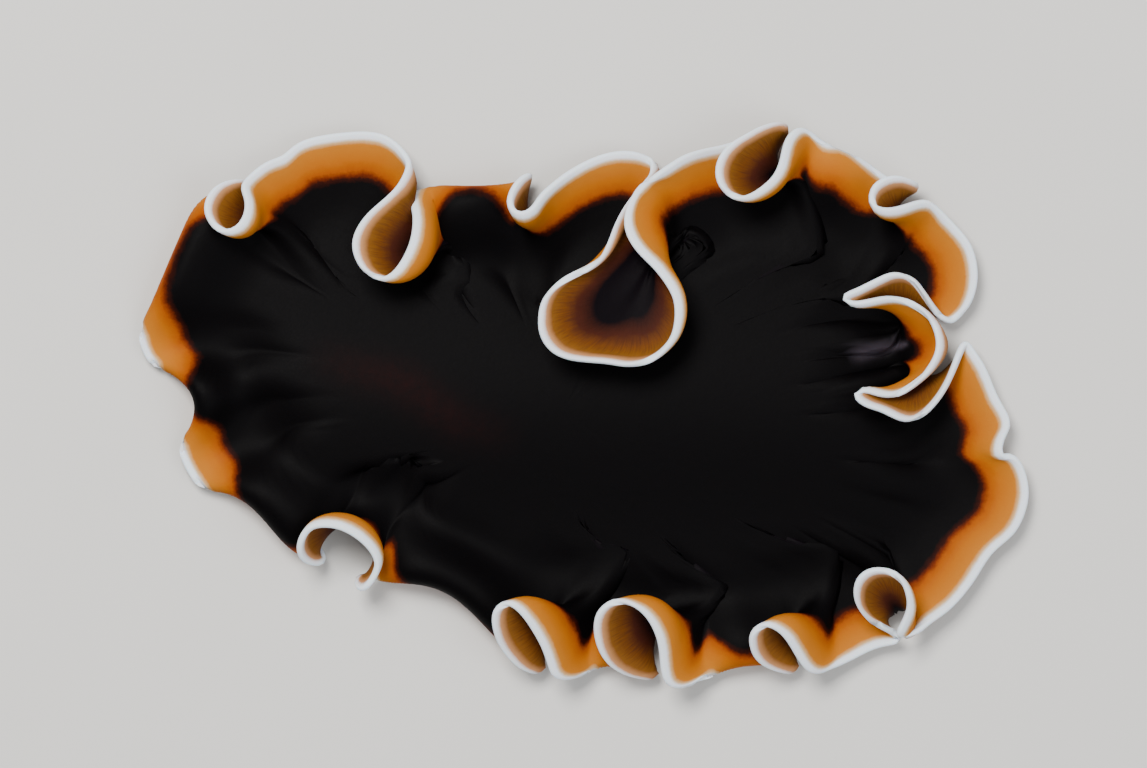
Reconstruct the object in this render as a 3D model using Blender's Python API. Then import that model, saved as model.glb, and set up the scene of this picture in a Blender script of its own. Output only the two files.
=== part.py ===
"""A polyclad flatworm, Pseudoceros hancockanus, crawling with its margin ruffled, at life size.

The body is one thin sheet. Its rim is a closed line that runs clockwise, seen from above, from the
tail over the animal's left side to the head and back along its right side. Lobes of the rim are
smooth curves through a few points, and folds are loops of given length, width and height. The sheet
between the rim and the middle of the body is worked out from that line: each row further in is the
rim line smoothed over a longer stretch, moved inwards and let down to the floor. The sub-parts are
patches of this sheet with thin cuts between them.

The script works in millimetres, with +X towards the head, +Y towards the animal's left and +Z up,
and the meshes are in metres.
"""

import math

import bmesh
import bpy
import numpy as np
from mathutils import Matrix
from mathutils.bvhtree import BVHTree

MILLIMETRE = 0.001

# Sizes of the sheet, in millimetres.
RIM_THICKNESS = 0.5
MARGIN_THICKNESS = 0.6
BODY_THICKNESS = 1.1
RIDGE_THICKNESS = 2.3
RIDGE_WIDTH = 7.0
BAND = 3.3
SHEET_REACH = 5.4
ROOT_LENGTH = 5.0
CUT = 0.3
ROOM = 0.25
PINCH_ROOM = 0.09
SHORTEST = 0.02
FLAT_ENOUGH = math.radians(1.0)

# A rolled-under edge: radius of the roll, length of the flat hem under it, and hem height.
ROLL_RADIUS = 1.15
ROLL_HEM = 1.4
ROLL_LOW = 0.5

# Smoothing lengths along the rim, in millimetres.
RIM_SOFTNESS = 0.32
ROOT_SOFTNESS = 7.5
ROOT_GROWTH = 1.5
HEIGHT_SOFTNESS = 2.0
LEAN_SOFTNESS = 1.6
SIDE_SOFTNESS = 9.0
BODY_SOFTNESS = 12.0

# Fineness of the worked-out sheet and of the faceted solids.
SHEET_COLUMNS = 3072
SHEET_ROWS = 40
BODY_ROWS = 14
RIM_STEP = 0.95
FLANK_STEP = 1.5
TRUNK_COLUMNS = 72
FOLD_LEVELS = (0.0, 0.3, 0.65, 1.0)
LOBE_LEVELS = (0.0, 0.5, 1.0)
FLANK_LEVELS = (1.0, 1.35, 1.7, 2.0, 2.3)
TRUNK_LEVELS = (2.3, 2.55, 2.8)

BODY_MIDDLE = (-1.5, -0.4)

ORANGE = (0.80, 0.20, 0.015, 1.0)
BLACK = (0.006, 0.004, 0.007, 1.0)


def lobe(name, *points):
    """A smooth stretch of the rim: points of x, y, height and how far its edge is rolled under."""
    return {"name": name, "kind": "lobe", "points": points}


def fold(
    name, neck, far, width, rise, low=1.2, high=2.8, fullness=1.0, bend=0.0, gap=0.0,
    lean=(0.0, 0.0), hidden=(1.0, 0.0),
):
    """A loop of the rim: from its neck out to its far end and back, with its root moved by lean.

    Its first end is at the height low and its last at the height high. The lower of the two runs on
    by hidden, under the sheet that crosses over it.
    """
    return {
        "name": name,
        "kind": "fold",
        "neck": neck,
        "far": far,
        "width": width,
        "rise": rise,
        "low": low,
        "high": high,
        "fullness": fullness,
        "bend": bend,
        "gap": gap,
        "lean": lean,
        "hidden": hidden,
    }


RIM = (
    lobe(
        "tail_lobe_left",
        (-28.6, 2.3, 1.0, 0.5),
        (-29.6, 3.2, 1.0, 0.1),
        (-29.9, 4.3, 1.0, 0.2),
        (-29.6, 5.6, 1.1, 0.5),
        (-28.7, 7.2, 1.1, 0.7),
        (-27.9, 9.3, 1.1, 0.7),
        (-26.9, 11.2, 1.1, 0.7),
        (-26.2, 12.9, 1.1, 0.6),
        (-25.2, 14.0, 1.1, 0.3),
    ),
    fold("fold_left_1", (-23.6, 14.9), (-25.1, 11.6), 2.5, 4.6, fullness=0.6, lean=(1.0, -0.6)),
    lobe(
        "lobe_left_1",
        (-22.6, 15.3, 2.4, 0.0),
        (-21.5, 16.2, 2.0, 0.0),
        (-20.3, 16.7, 1.6, 0.0),
        (-19.4, 17.5, 1.4, 0.0),
        (-17.9, 18.0, 1.3, 0.0),
        (-15.3, 18.3, 1.3, 0.0),
        (-13.6, 18.1, 1.5, 0.0),
        (-12.5, 17.3, 2.0, 0.0),
        (-12.0, 16.3, 2.6, 0.0),
        (-12.3, 15.3, 3.2, 0.0),
    ),
    fold(
        "fold_left_2", (-12.5, 14.6), (-14.2, 8.3), 4.0, 5.0, low=3.4, high=1.8,
        fullness=0.7, gap=0.5, lean=(1.6, 0.2), hidden=(-0.9, 0.3),
    ),
    lobe(
        "lobe_left_2",
        (-11.2, 14.1, 2.6, 0.0),
        (-9.9, 14.5, 2.6, 0.0),
        (-8.1, 14.5, 2.4, 0.0),
        (-6.6, 14.5, 1.9, 0.2),
        (-4.9, 15.2, 1.2, 0.4),
    ),
    fold("fold_left_3", (-3.2, 15.5), (-5.1, 12.9), 1.9, 4.0, fullness=0.4, gap=0.5, lean=(0.7, -0.6)),
    lobe(
        "lobe_left_3",
        (-2.0, 15.0, 2.4, 0.0),
        (-0.9, 15.8, 1.8, 0.0),
        (0.4, 16.5, 1.4, 0.0),
        (1.6, 16.9, 1.3, 0.0),
        (2.8, 17.0, 1.3, 0.0),
        (4.0, 16.6, 1.2, 0.0),
    ),
    fold(
        "fold_left_4", (4.3, 14.9), (0.7, 2.6), 9.0, 5.4, low=1.2, high=3.4,
        fullness=2.2, bend=0.1, lean=(1.5, 2.0),
    ),
    lobe(
        "lobe_left_4",
        (5.4, 16.0, 3.0, 0.0),
        (6.4, 16.7, 2.4, 0.0),
        (7.6, 17.1, 1.7, 0.0),
        (8.9, 17.3, 1.3, 0.0),
        (10.7, 17.6, 1.1, 0.0),
    ),
    fold(
        "fold_left_5", (13.3, 18.4), (8.8, 14.2), 4.1, 4.8, fullness=0.9, lean=(1.4, -0.6),
        hidden=(1.8, 0.0),
    ),
    lobe(
        "lobe_left_5",
        (14.5, 18.3, 2.6, 0.0),
        (15.4, 17.9, 2.0, 0.0),
        (17.3, 16.9, 1.4, 0.3),
        (18.6, 16.5, 1.3, 0.1),
        (19.9, 15.4, 1.2, 0.0),
    ),
    fold("fold_left_6", (22.4, 14.5), (18.8, 14.0), 2.1, 4.0, fullness=0.3, gap=0.5, lean=(0.9, -0.9)),
    lobe(
        "lobe_front_left",
        (23.5, 13.1, 2.2, 0.0),
        (24.8, 11.9, 1.6, 0.0),
        (26.0, 10.6, 1.4, 0.0),
        (26.4, 8.5, 1.4, 0.0),
        (25.8, 6.6, 1.4, 0.0),
        (24.4, 5.7, 1.4, 0.0),
    ),
    fold(
        "pseudotentacle_left", (23.3, 5.9), (17.0, 7.0), 1.7, 5.2, low=1.4, high=2.2,
        fullness=0.2, bend=1.1, gap=0.6, lean=(0.6, -0.6),
    ),
    lobe(
        "front_margin",
        (23.3, 4.6, 1.8, 0.0),
        (23.1, 3.2, 1.6, 0.0),
        (22.3, 1.9, 1.8, 0.0),
    ),
    fold(
        "pseudotentacle_right", (23.4, 1.6), (17.6, 0.8), 1.9, 5.2, low=2.2, high=2.4,
        fullness=0.2, bend=-1.0, gap=2.4, lean=(0.6, 0.6),
    ),
    lobe(
        "lobe_front_right",
        (25.4, 4.0, 1.7, 0.0),
        (26.3, 3.3, 1.5, 0.0),
        (27.0, 2.3, 1.4, 0.0),
        (27.7, 0.6, 1.4, 0.0),
        (28.6, -1.2, 1.6, 0.0),
        (27.9, -2.6, 1.9, 0.0),
        (27.8, -3.8, 2.1, 0.0),
        (28.9, -3.6, 1.7, 0.0),
        (29.7, -4.7, 1.4, 0.0),
    ),
    lobe(
        "lobe_right_1",
        (29.7, -6.7, 1.4, 0.0),
        (28.8, -8.7, 1.5, 0.0),
        (27.0, -10.1, 1.6, 0.0),
        (25.8, -12.2, 1.6, 0.0),
        (24.4, -13.9, 1.8, 0.0),
        (22.6, -15.0, 2.4, 0.0),
    ),
    fold(
        "fold_right_1", (20.9, -15.5), (18.4, -11.0), 3.4, 4.8, low=3.0, high=1.4, fullness=0.7,
        lean=(0.6, 0.6), hidden=(1.9, 0.4),
    ),
    lobe(
        "lobe_right_2",
        (20.3, -16.1, 1.3, 0.0),
        (18.9, -17.0, 1.3, 0.0),
        (16.5, -17.9, 1.8, 0.0),
    ),
    fold(
        "fold_right_2", (14.5, -17.8), (10.8, -15.1), 2.6, 4.8, low=3.0, high=1.4, fullness=0.8,
        lean=(0.8, 1.0),
    ),
    lobe(
        "lobe_right_3",
        (12.9, -17.9, 1.2, 0.0),
        (11.1, -17.7, 1.4, 0.0),
        (9.5, -17.7, 2.0, 0.0),
        (8.2, -18.3, 2.4, 0.0),
        (6.7, -18.8, 2.8, 0.0),
    ),
    fold(
        "fold_right_3", (5.1, -18.4), (0.7, -13.2), 4.0, 5.0, low=3.2, high=1.4, fullness=0.8,
        lean=(1.2, 1.0), hidden=(1.8, 0.2),
    ),
    lobe(
        "lobe_right_4",
        (3.3, -18.0, 1.2, 0.0),
        (1.2, -17.8, 1.8, 0.0),
        (-0.6, -18.1, 2.6, 0.0),
    ),
    fold(
        "fold_right_4", (-2.3, -18.2), (-6.2, -13.2), 3.4, 5.0, low=3.2, high=1.4, fullness=0.7,
        lean=(1.2, 1.0),
    ),
    lobe(
        "lobe_right_5",
        (-4.6, -17.4, 1.2, 0.3),
        (-5.9, -15.9, 1.1, 0.6),
        (-7.2, -14.2, 1.0, 0.9),
        (-8.8, -12.6, 1.0, 1.0),
        (-10.8, -11.8, 1.0, 1.0),
        (-12.8, -11.9, 1.0, 0.8),
        (-14.4, -12.6, 1.2, 0.4),
    ),
    fold(
        "fold_right_5", (-16.4, -12.6), (-16.6, -8.2), 5.2, 4.8, low=3.0, high=1.4, fullness=0.0,
        lean=(1.8, 0.9), hidden=(1.8, 0.5),
    ),
    lobe(
        "lobe_right_6",
        (-18.2, -12.2, 1.2, 0.4),
        (-19.4, -10.6, 1.0, 0.9),
        (-20.9, -8.4, 1.0, 1.0),
        (-22.4, -6.6, 1.0, 0.9),
    ),
    lobe(
        "tail_lobe_right",
        (-23.7, -5.7, 1.0, 0.4),
        (-25.2, -5.8, 1.2, 0.0),
        (-26.6, -4.6, 1.2, 0.0),
        (-27.3, -2.9, 1.2, 0.0),
        (-26.7, -1.9, 1.2, 0.2),
        (-25.8, -0.8, 1.0, 0.7),
        (-25.9, 0.5, 1.0, 1.0),
        (-27.0, 1.6, 1.0, 0.9),
    ),
)

# The widest fold is two sub-parts that meet at its far end.
SPLIT = {"fold_left_4": ("fold_left_4_rear", "fold_left_4_front")}

# The black body's stretches round the trunk, and how far along which stretch of the rim each begins.
FLANKS = (
    ("flank_left_rear", "lobe_left_1", 0.45),
    ("flank_left_front", "lobe_left_4", 0.55),
    ("head", "lobe_front_left", 0.85),
    ("flank_right_front", "lobe_front_right", 0.15),
    ("flank_right_rear", "lobe_right_3", 0.5),
    ("tail", "lobe_right_6", 0.5),
)

# Channels of a point of the rim line.
X, Y, HEIGHT, UNDER, LEAN_X, LEAN_Y, ROOT = range(7)


def fold_points(shape):
    """The loop's points: out along one limb, round the far end and back, teardrop-shaped.

    With the turn t running from 0 to a full circle, the way along the axis is length (1 - cos t) / 2,
    and the way across it is half the width times sin t times sin(t / 2) to the power of the fullness.
    """
    neck = np.array(shape["neck"])
    reach = np.array(shape["far"]) - neck
    length = math.hypot(*reach)
    axis = reach / length
    side = np.array((axis[1], -axis[0]))
    count = max(11, int(2.2 * (2.0 * length + shape["width"]) / 1.6))
    turn = np.linspace(0.0, 2.0 * math.pi, count)
    half = np.sin(turn / 2.0)
    lens = np.sin(turn) * half ** shape["fullness"]
    along = length * (1.0 - np.cos(turn)) / 2.0
    across = 0.5 * shape["width"] * lens / np.abs(lens).max()
    across += 0.5 * shape["gap"] * np.cos(turn / 2.0)
    share = along / length
    across += shape["bend"] * 4.0 * share * (1.0 - share)
    points = np.zeros((count, 7))
    under = np.cos(turn / 2.0) * (1.0 if shape["low"] < shape["high"] else -1.0)
    under = np.maximum(under, 0.0) ** 4
    points[:, :2] = neck + along[:, None] * axis + across[:, None] * side
    points[:, :2] += under[:, None] * np.array(shape["hidden"])
    ends = shape["low"] + (shape["high"] - shape["low"]) * turn / (2.0 * math.pi)
    crest = shape["rise"] - 0.5 * (shape["low"] + shape["high"])
    points[:, HEIGHT] = ends + crest * half ** 0.7
    points[:, LEAN_X] = shape["lean"][0] * half ** 0.5
    points[:, LEAN_Y] = shape["lean"][1] * half ** 0.5
    run = np.hypot(*np.diff(points[:, :2], axis=0).T).sum()
    points[:, ROOT] = ROOT_LENGTH / run
    return points


def lobe_points(shape):
    points = np.zeros((len(shape["points"]), 7))
    points[:, :4] = shape["points"]
    points[:, ROOT] = 1.0
    return points


def through(points, steps):
    """A closed Catmull-Rom curve through the points, with the same number of steps between them."""
    before = np.roll(points, 1, axis=0)
    after = np.roll(points, -1, axis=0)
    later = np.roll(points, -2, axis=0)
    t = (np.arange(steps) / steps)[None, :, None]
    p0, p1, p2, p3 = (p[:, None, :] for p in (before, points, after, later))
    curve = 0.5 * (
        2.0 * p1
        + (p2 - p0) * t
        + (2.0 * p0 - 5.0 * p1 + 4.0 * p2 - p3) * t ** 2
        + (3.0 * p1 - p0 - 3.0 * p2 + p3) * t ** 3
    )
    return curve.reshape(-1, points.shape[1])


def run_along(values):
    """Length from the first point to each point of a closed line, and the whole length."""
    steps = np.linalg.norm(np.roll(values, -1, axis=0) - values, axis=1)
    return np.concatenate(([0.0], np.cumsum(steps)))


def evenly(values, run, count):
    """The closed line's channels at evenly spaced values of run."""
    wanted = np.linspace(0.0, run[-1], count, endpoint=False)
    closed = np.vstack((values, values[:1]))
    return np.stack([np.interp(wanted, run, channel) for channel in closed.T], axis=1)


def smoothed(values, length, step):
    """A Gaussian mean over the closed line, with the given standard length."""
    waves = np.fft.rfftfreq(len(values), step) * 2.0 * math.pi
    weight = np.exp(-0.5 * (waves * length) ** 2)
    return np.fft.irfft(np.fft.rfft(values, axis=0) * weight[:, None], len(values), axis=0)


def rim_line():
    """The rim's channels, spaced evenly along the root line, its length, and where stretches begin."""
    pieces = [fold_points(s) if s["kind"] == "fold" else lobe_points(s) for s in RIM]
    first = np.cumsum([0] + [len(p) for p in pieces])
    steps = 24
    curve = through(np.vstack(pieces), steps)
    run = run_along(curve[:, :3])
    count = 4096
    line = evenly(curve, run, count)
    step = run[-1] / count
    shape = smoothed(line[:, :3], RIM_SOFTNESS, step)
    ways = smoothed(line[:, 3:6], 1.5, step)
    root = np.maximum(smoothed(line[:, 6:], 0.4, step), 0.05)
    line = np.hstack((shape, ways, root))
    rim_run = run_along(line[:, :3])
    root_run = np.concatenate(([0.0], np.cumsum(line[:, ROOT] * np.diff(rim_run))))
    length = root_run[-1]
    placed = evenly(line, root_run, SHEET_COLUMNS)
    middles = np.maximum((first[:-1] - 0.5) * steps, 0.0)
    shares = np.interp(middles, np.arange(len(run)), run) / run[-1]
    starts = np.interp(shares * count, np.arange(count + 1), root_run) / length * SHEET_COLUMNS
    return placed, length, list(starts)


def rolled_edge(run):
    """Inward way and height of an edge that is rolled under, at each run from the rim."""
    turn = np.clip((run - ROLL_HEM) / ROLL_RADIUS, 0.0, math.pi)
    rest = np.maximum(run - ROLL_HEM - math.pi * ROLL_RADIUS, 0.0)
    inward = ROLL_RADIUS - ROLL_RADIUS * np.sin(turn) + np.maximum(ROLL_HEM - run, 0.0) + rest
    height = ROLL_LOW + ROLL_RADIUS * (1.0 - np.cos(turn))
    return inward, height, rest


def thickness(x, y, run):
    """Thin at the rim, thicker inwards, with a low ridge along the midline."""
    margin = RIM_THICKNESS + (MARGIN_THICKNESS - RIM_THICKNESS) * np.clip(run / 4.5, 0.0, 1.0)
    inside = np.clip((run - 4.5) / 6.0, 0.0, 1.0)
    inside = inside * inside * (3.0 - 2.0 * inside)
    ends = np.clip(1.25 - (x / 26.0) ** 4, 0.0, 1.0)
    ridge = (RIDGE_THICKNESS - BODY_THICKNESS) * ends * np.exp(-((y + 0.4) / RIDGE_WIDTH) ** 2)
    return margin + inside * (BODY_THICKNESS + ridge - margin)


def sheet():
    """Rows of the sheet from the rim to the middle of the body, with their normals and thickness."""
    rim, length, starts = rim_line()
    step = length / SHEET_COLUMNS
    plan = rim[:, :2]
    lean = smoothed(rim[:, LEAN_X:LEAN_Y + 1], LEAN_SOFTNESS, step)
    under = rim[:, UNDER]
    side_line = smoothed(plan, SIDE_SOFTNESS, step)
    along = np.roll(side_line, -1, axis=0) - np.roll(side_line, 1, axis=0)
    along /= np.linalg.norm(along, axis=1)[:, None]
    inward = np.column_stack((along[:, 1], -along[:, 0]))
    floor = 0.5 * MARGIN_THICKNESS
    roll_length = ROLL_HEM + math.pi * ROLL_RADIUS + SHEET_REACH - ROLL_RADIUS
    rows = []
    shares = np.linspace(0.0, 1.0, SHEET_ROWS)
    ways_in = []
    for share in shares:
        roll_in = rolled_edge(roll_length * share)[0]
        ways_in.append((1.0 - under) * SHEET_REACH * share ** 1.15 + under * roll_in)
    ways_in = np.array(ways_in) - np.min(ways_in, axis=0)
    for share, moved in zip(shares, ways_in):
        soft = smoothed(plan, ROOT_SOFTNESS * share ** ROOT_GROWTH, step)
        high = smoothed(rim[:, HEIGHT:HEIGHT + 1], HEIGHT_SOFTNESS * share, step)[:, 0]
        let_down = 1.0 - (1.0 - (1.0 - share) ** 1.6) ** 1.35
        roll_in, roll_height, rest = rolled_edge(roll_length * share)
        ease = 0.5 + 0.5 * math.cos(math.pi * min(rest / (SHEET_REACH - ROLL_RADIUS), 1.0))
        roll_height = floor + (roll_height - floor) * ease
        place = soft + inward * moved[:, None] + lean * (share ** 1.2)
        height = floor + (high - floor) * let_down
        height = (1.0 - under) * height + under * roll_height
        rows.append(np.column_stack((place, height)))
    root = rows[-1][:, :2]
    broad = smoothed(plan, BODY_SOFTNESS, step) + inward * SHEET_REACH
    middle = np.array(BODY_MIDDLE)
    for share in np.linspace(1.0, 0.02, BODY_ROWS)[1:]:
        place = middle + (broad + (root - broad) * share ** 5 - middle) * share
        rows.append(np.column_stack((place, np.full(len(place), floor))))
    rows = np.array(rows)
    steps = np.linalg.norm(np.diff(rows, axis=0), axis=2)
    run = np.concatenate((np.zeros((1, SHEET_COLUMNS)), np.cumsum(steps, axis=0)))
    thick = thickness(rows[:, :, 0], rows[:, :, 1], run)
    lift = 1.0 - np.clip((rows[:, :, 2] - floor) / 1.0, 0.0, 1.0)
    rows[:, :, 2] += lift * 0.5 * (thick - MARGIN_THICKNESS)
    rows[:, :, 2] = np.maximum(rows[:, :, 2], 0.5 * thick)
    across = np.roll(rows, -1, axis=1) - np.roll(rows, 1, axis=1)
    outward = np.empty_like(rows)
    outward[1:-1] = rows[:-2] - rows[2:]
    outward[0] = rows[0] - rows[1]
    outward[-1] = rows[-2] - rows[-1]
    normal = np.cross(across, outward)
    normal /= np.maximum(np.linalg.norm(normal, axis=2), 1e-12)[:, :, None]
    return {"rows": rows, "normal": normal, "thick": thick, "run": run, "starts": starts}


def columns_at(data, where):
    """Sections of the sheet at given columns: positions, normals, thickness and run inwards."""
    low = np.floor(where).astype(int) % SHEET_COLUMNS
    high = (low + 1) % SHEET_COLUMNS
    part = where - np.floor(where)
    taken = {}
    for key in ("rows", "normal", "thick", "run"):
        values = data[key]
        weight = part[None, :, None] if values.ndim == 3 else part[None, :]
        taken[key] = values[:, low] * (1.0 - weight) + values[:, high] * weight
    return taken


def patch(data, where, levels, near=0.0, far=0.0):
    """The sheet's middle, normal and thickness on a grid of columns and levels.

    A level from 0 to 1 crosses the coloured band, 1 to 2 goes on to where the sheet reaches the floor,
    and 2 to 3 goes on to the middle of the body. The first and last rows are drawn in by near and far.
    """
    taken = columns_at(data, where)
    root = taken["run"][SHEET_ROWS - 1]
    last = taken["run"][-1]
    band = np.minimum(BAND, 0.8 * root)
    grid = {"rows": [], "normal": [], "thick": []}
    for number, level in enumerate(levels):
        run = np.where(
            level <= 1.0,
            band * min(level, 1.0),
            np.where(
                level <= 2.0,
                band + (root - band) * (min(level, 2.0) - 1.0),
                root + (last - root) * (max(level, 2.0) - 2.0),
            ),
        )
        if number == 0:
            run = run + near
        if number == len(levels) - 1:
            run = run - far
        found = {"rows": [], "normal": [], "thick": []}
        for column, at in enumerate(run):
            known = taken["run"][:, column]
            for key in ("rows", "normal"):
                found[key].append([np.interp(at, known, taken[key][:, column,
                axis]) for axis in range(3)])
            found["thick"].append(np.interp(at, known, taken["thick"][:, column]))
        for key, values in found.items():
            grid[key].append(values)
    return {key: np.array(values) for key, values in grid.items()}


def faces_of(grid):
    """Both faces of a patch: its middle moved out by half the thickness, and flat where it lies."""
    middle = grid["rows"]
    normal = grid["normal"] / np.linalg.norm(grid["normal"], axis=2)[:, :, None]
    half = 0.5 * grid["thick"][:, :, None]
    top = middle + normal * half
    bottom = middle - normal * half
    bottom[bottom[:, :, 2] < 0.03, 2] = 0.0
    top[:, :, 2] = np.maximum(top[:, :, 2], 0.12)
    return top, bottom


def material(name, colour, roughness):
    made = bpy.data.materials.new(name)
    made.use_nodes = True
    shader = made.node_tree.nodes["Principled BSDF"]
    shader.inputs["Base Color"].default_value = colour
    shader.inputs["Roughness"].default_value = roughness
    shader.inputs["Metallic"].default_value = 0.0
    made.diffuse_color = colour
    return made


def solid(name, points, faces, colour, roughness):
    mesh = bpy.data.meshes.new(name)
    mesh.from_pydata((np.asarray(points) * MILLIMETRE).tolist(), [], faces)
    mesh.materials.append(material(name + "_skin", colour, roughness))
    mesh.shade_smooth()
    mesh.set_sharp_from_angle(angle=math.radians(40.0))
    made = bpy.data.objects.new(name, mesh)
    bpy.context.scene.collection.objects.link(made)
    return made


def slab(name, grid, colour, roughness, closed=False):
    """A closed solid from a patch: both faces split into the same triangles, and a wall round them.

    A closed patch goes all the way round, and its last row is filled in to the middle.
    """
    top, bottom = faces_of(grid)
    rows, columns = top.shape[:2]
    count = rows * columns
    points = np.vstack((top.reshape(-1, 3), bottom.reshape(-1, 3)))
    faces = []
    spans = columns if closed else columns - 1
    for r in range(rows - 1):
        for c in range(spans):
            d = (c + 1) % columns
            a, b = r * columns + c, r * columns + d
            e, f = a + columns, b + columns
            faces.append((a, f, b))
            faces.append((a, e, f))
            faces.append((a + count, b + count, f + count))
            faces.append((a + count, f + count, e + count))
    ring = []
    if closed:
        inner = (rows - 1) * columns
        centre = 2 * count
        points = np.vstack((points, top[-1].mean(axis=0), bottom[-1].mean(axis=0)))
        for c in range(columns):
            d = (c + 1) % columns
            ring.append((c, d))
            faces.append((inner + c, centre, inner + d))
            faces.append((inner + c + count, inner + d + count, centre + 1))
    else:
        ring += [(c, c + 1) for c in range(columns - 1)]
        ring += [((r + 1) * columns - 1, (r + 2) * columns - 1) for r in range(rows - 1)]
        last = (rows - 1) * columns
        ring += [(last + c + 1, last + c) for c in range(columns - 1)]
        ring += [((r + 1) * columns, r * columns) for r in range(rows - 1)]
    for a, b in ring:
        faces.append((a, b, b + count))
        faces.append((a, b + count, a + count))
    return solid(name, points, faces, colour, roughness)


def level_lines(data, levels):
    """The sheet's closed lines at some levels."""
    return patch(data, np.arange(float(SHEET_COLUMNS)), levels)["rows"]


def spaced(lines, begin, end, step):
    """Columns from begin to end, less half a cut at both, about a step apart along the longest line."""
    columns = np.arange(SHEET_COLUMNS)
    steps = np.linalg.norm(np.roll(lines, -1, axis=1) - lines, axis=2)
    trims = []
    for at in (begin, end):
        nearby = np.take(steps, np.arange(int(at) - 3, int(at) + 4) % SHEET_COLUMNS, axis=1)
        trims.append(0.5 * CUT / nearby.mean(axis=1).min())
    pace = np.tile(steps.max(axis=0), 2)
    run = np.concatenate(([0.0], np.cumsum(pace)))
    known = np.arange(2 * len(columns) + 1)
    first, last = np.interp((begin + trims[0], end - trims[1]), known, run)
    count = max(3, int(math.ceil((last - first) / step)) + 1)
    return np.interp(np.linspace(first, last, count), run, known)


def tree_of(made):
    mesh = made.data
    points = [v.co / MILLIMETRE for v in mesh.vertices]
    return BVHTree.FromPolygons(points, [tuple(p.vertices) for p in mesh.polygons])


def crosses_itself(made):
    tree = tree_of(made)
    corners = [set(p.vertices) for p in made.data.polygons]
    return any(not corners[a] & corners[b] for a, b in tree.overlap(tree) if a < b)


def keep_largest(made):
    """Drops all but the largest closed surface, which also fills a hollow that fusing sealed."""
    work = bmesh.new()
    work.from_mesh(made.data)
    left = set(work.faces)
    bodies = []
    while left:
        body = [left.pop()]
        for face in body:
            for edge in face.edges:
                for near in edge.link_faces:
                    if near in left:
                        left.discard(near)
                        body.append(near)
        bodies.append(body)
    bodies.sort(key=lambda faces: sum(f.calc_area() for f in faces))
    spare = [face for body in bodies[:-1] for face in body]
    bmesh.ops.delete(work, geom=spare, context="FACES")
    work.to_mesh(made.data)
    work.free()


def flat_faces_joined(made):
    """Joins the faces that lie in one plane, and splits them into triangles again."""
    work = bmesh.new()
    work.from_mesh(made.data)
    bmesh.ops.dissolve_limit(work, angle_limit=FLAT_ENOUGH, verts=work.verts[:], edges=work.edges[:])
    bmesh.ops.triangulate(work, faces=work.faces[:])
    work.to_mesh(made.data)
    work.free()


def cut(made, cutter):
    """Takes the cutter out of a solid, and fuses the places where the solid's own walls meet."""
    modifier = made.modifiers.new("cut", "BOOLEAN")
    modifier.operation = "DIFFERENCE"
    modifier.solver = "EXACT"
    modifier.use_self = True
    modifier.object = cutter
    bpy.context.view_layer.update()
    graph = bpy.context.evaluated_depsgraph_get()
    mesh = bpy.data.meshes.new_from_object(made.evaluated_get(graph))
    made.modifiers.remove(modifier)
    old = made.data
    made.data = mesh
    bpy.data.meshes.remove(old)
    keep_largest(made)
    flat_faces_joined(made)


def cells_of(grid, closed=False):
    """The eight corners of each cell of a patch, moved out to leave room round it."""
    top, bottom = faces_of(grid)
    apart = top - bottom
    apart *= ROOM / np.maximum(np.linalg.norm(apart, axis=2), 1e-9)[:, :, None]
    outer = np.stack((top + apart, bottom - apart))
    if closed:
        outer = np.concatenate((outer, outer[:, :, :1]), axis=2)
    corners = (outer[:, :-1, :-1], outer[:, 1:, :-1], outer[:, :-1, 1:], outer[:, 1:, 1:])
    cells = np.stack(corners, axis=3)
    return cells.transpose(1, 2, 0, 3, 4).reshape(-1, 8, 3)


def merge_short(made):
    """Draws together the ends of very short edges, where the surface stays closed."""
    work = bmesh.new()
    work.from_mesh(made.data)
    for attempt in range(4):
        short = [edge for edge in work.edges if edge.calc_length() < SHORTEST * MILLIMETRE]
        for edge in short:
            if not edge.is_valid:
                continue
            first, second = edge.verts
            around_first = {e.other_vert(first) for e in first.link_edges}
            around_second = {e.other_vert(second) for e in second.link_edges}
            if len(around_first & around_second) == 2:
                bmesh.ops.pointmerge(work, verts=[first, second], merge_co=first.co)
    work.to_mesh(made.data)
    work.free()


def blocks(cells):
    """One mesh of the convex hulls of some cells."""
    work = bmesh.new()
    for cell in cells:
        corners = [work.verts.new(corner) for corner in cell * MILLIMETRE]
        made = bmesh.ops.convex_hull(work, input=corners)
        spare = set(made["geom_interior"]) | set(made["geom_unused"])
        bmesh.ops.delete(work, geom=[v for v in spare if isinstance(v, bmesh.types.BMVert)],
        context="VERTS")
    bmesh.ops.recalc_face_normals(work, faces=work.faces[:])
    mesh = bpy.data.meshes.new("blocks")
    work.to_mesh(mesh)
    work.free()
    made = bpy.data.objects.new("blocks", mesh)
    bpy.context.scene.collection.objects.link(made)
    return made


def around(made, groups, room):
    """Cells with some room on every side of a few groups of a solid's vertices."""
    corners = np.array([(x, y, z) for x in (-1, 1) for y in (-1, 1) for z in (-1, 1)]) * room
    cells = []
    for group in groups:
        at = np.array([made.data.vertices[v].co for v in group]) / MILLIMETRE
        cells.append((at[:, None, :] + corners).reshape(-1, 3))
    return cells


def pinched(made):
    """The edges where a solid only touches itself."""
    work = bmesh.new()
    work.from_mesh(made.data)
    found = [tuple(v.index for v in edge.verts) for edge in work.edges if len(edge.link_faces) != 2]
    work.free()
    return found


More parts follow.
